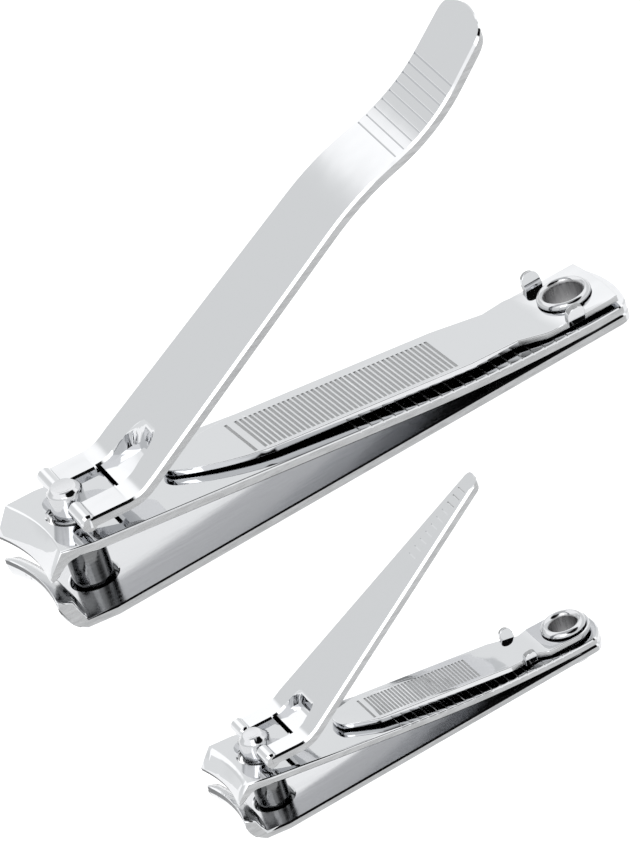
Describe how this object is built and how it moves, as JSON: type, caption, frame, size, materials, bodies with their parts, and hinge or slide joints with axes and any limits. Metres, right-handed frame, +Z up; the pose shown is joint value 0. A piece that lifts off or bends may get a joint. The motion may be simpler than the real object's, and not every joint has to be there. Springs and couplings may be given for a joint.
{
  "type": "nail clipper set",
  "caption": "Chrome nail clipper set: a wide toenail clipper and a small fingernail clipper, each with sprung jaws, forked thumb lever and swing-out file.",
  "frame": {"origin": "on the floor, on the axis of the toenail clipper's hollow rivet", "axes": "+Z up along the rivet, +X from the blades to the rear of the toenail clipper, -Y towards the fingernail clipper"},
  "size_m": [0.0811, 0.067, 0.0475],
  "materials": {
    "chrome_arm": "mirror chrome plate",
    "chrome_lever": "mirror chrome plate",
    "nickel_rivet": "polished nickel plate",
    "file_steel": "plated steel with a cut file face"
  },
  "bodies": {
    "toenail_base": {"toenail_lower_jaw": "chrome_arm", "toenail_eyelet": "nickel_rivet"},
    "toenail_top_arm": {"toenail_upper_jaw": "chrome_arm"},
    "toenail_file": {"toenail_nail_file": "file_steel"},
    "toenail_post": {"toenail_pivot_post": "nickel_rivet", "toenail_lever_pin": "nickel_rivet"},
    "toenail_thumb_lever": {"toenail_lever": "chrome_lever"},
    "fingernail_base": {"fingernail_lower_jaw": "chrome_arm", "fingernail_eyelet": "nickel_rivet"},
    "fingernail_top_arm": {"fingernail_upper_jaw": "chrome_arm"},
    "fingernail_file": {"fingernail_nail_file": "file_steel"},
    "fingernail_post": {"fingernail_pivot_post": "nickel_rivet", "fingernail_lever_pin": "nickel_rivet"},
    "fingernail_thumb_lever": {"fingernail_lever": "chrome_lever"}
  },
  "joints": [
    {"name": "toenail_jaw_close", "type": "hinge", "parent": "toenail_base", "child": "toenail_top_arm", "pos_m": [0, 0, 0.002], "axis": [0, -1, 0], "range_deg": [0, 1.6]},
    {"name": "toenail_file_swing", "type": "hinge", "parent": "toenail_top_arm", "child": "toenail_file", "pos_m": [0, 0, 0.00355], "axis": [0, 0, -1], "range_deg": [0, 170]},
    {"name": "toenail_post_swivel", "type": "hinge", "parent": "toenail_base", "child": "toenail_post", "pos_m": [-0.0636, 0, 0.002], "axis": [0, 0, 1], "range_deg": [0, 180]},
    {"name": "toenail_lever_press", "type": "hinge", "parent": "toenail_post", "child": "toenail_thumb_lever", "pos_m": [-0.0636, 0, 0.01258], "axis": [0.0802, 0.9968, 0], "range_deg": [0, 23], "stiffness_Nm_per_rad": 0.2, "springref_deg": -5.73},
    {"name": "fingernail_jaw_close", "type": "hinge", "parent": "fingernail_base", "child": "fingernail_top_arm", "pos_m": [-0.03296, -0.05538, 0.0016], "axis": [-0.0359, -0.9994, 0], "range_deg": [0, 1.95]},
    {"name": "fingernail_file_swing", "type": "hinge", "parent": "fingernail_top_arm", "child": "fingernail_file", "pos_m": [-0.03296, -0.05538, 0.00285], "axis": [0, 0, 1], "range_deg": [0, 170]},
    {"name": "fingernail_post_swivel", "type": "hinge", "parent": "fingernail_base", "child": "fingernail_post", "pos_m": [-0.06974, -0.05406, 0.0016], "axis": [0, 0, -1], "range_deg": [0, 180]},
    {"name": "fingernail_lever_press", "type": "hinge", "parent": "fingernail_post", "child": "fingernail_thumb_lever", "pos_m": [-0.06974, -0.05406, 0.0091], "axis": [0.0621, 0.9981, 0], "range_deg": [0, 23], "stiffness_Nm_per_rad": 0.2, "springref_deg": -5.73},
    {"name": "fingernail_lift", "type": "slide", "parent": "toenail_base", "child": "fingernail_base", "axis": [0, 0, 1], "range_m": [0, 0.06]}
  ],
  "couplings": [
    {"joint": "toenail_jaw_close", "follows": "toenail_lever_press", "ratio": 0.0696},
    {"joint": "fingernail_jaw_close", "follows": "fingernail_lever_press", "ratio": 0.0848}
  ]
}
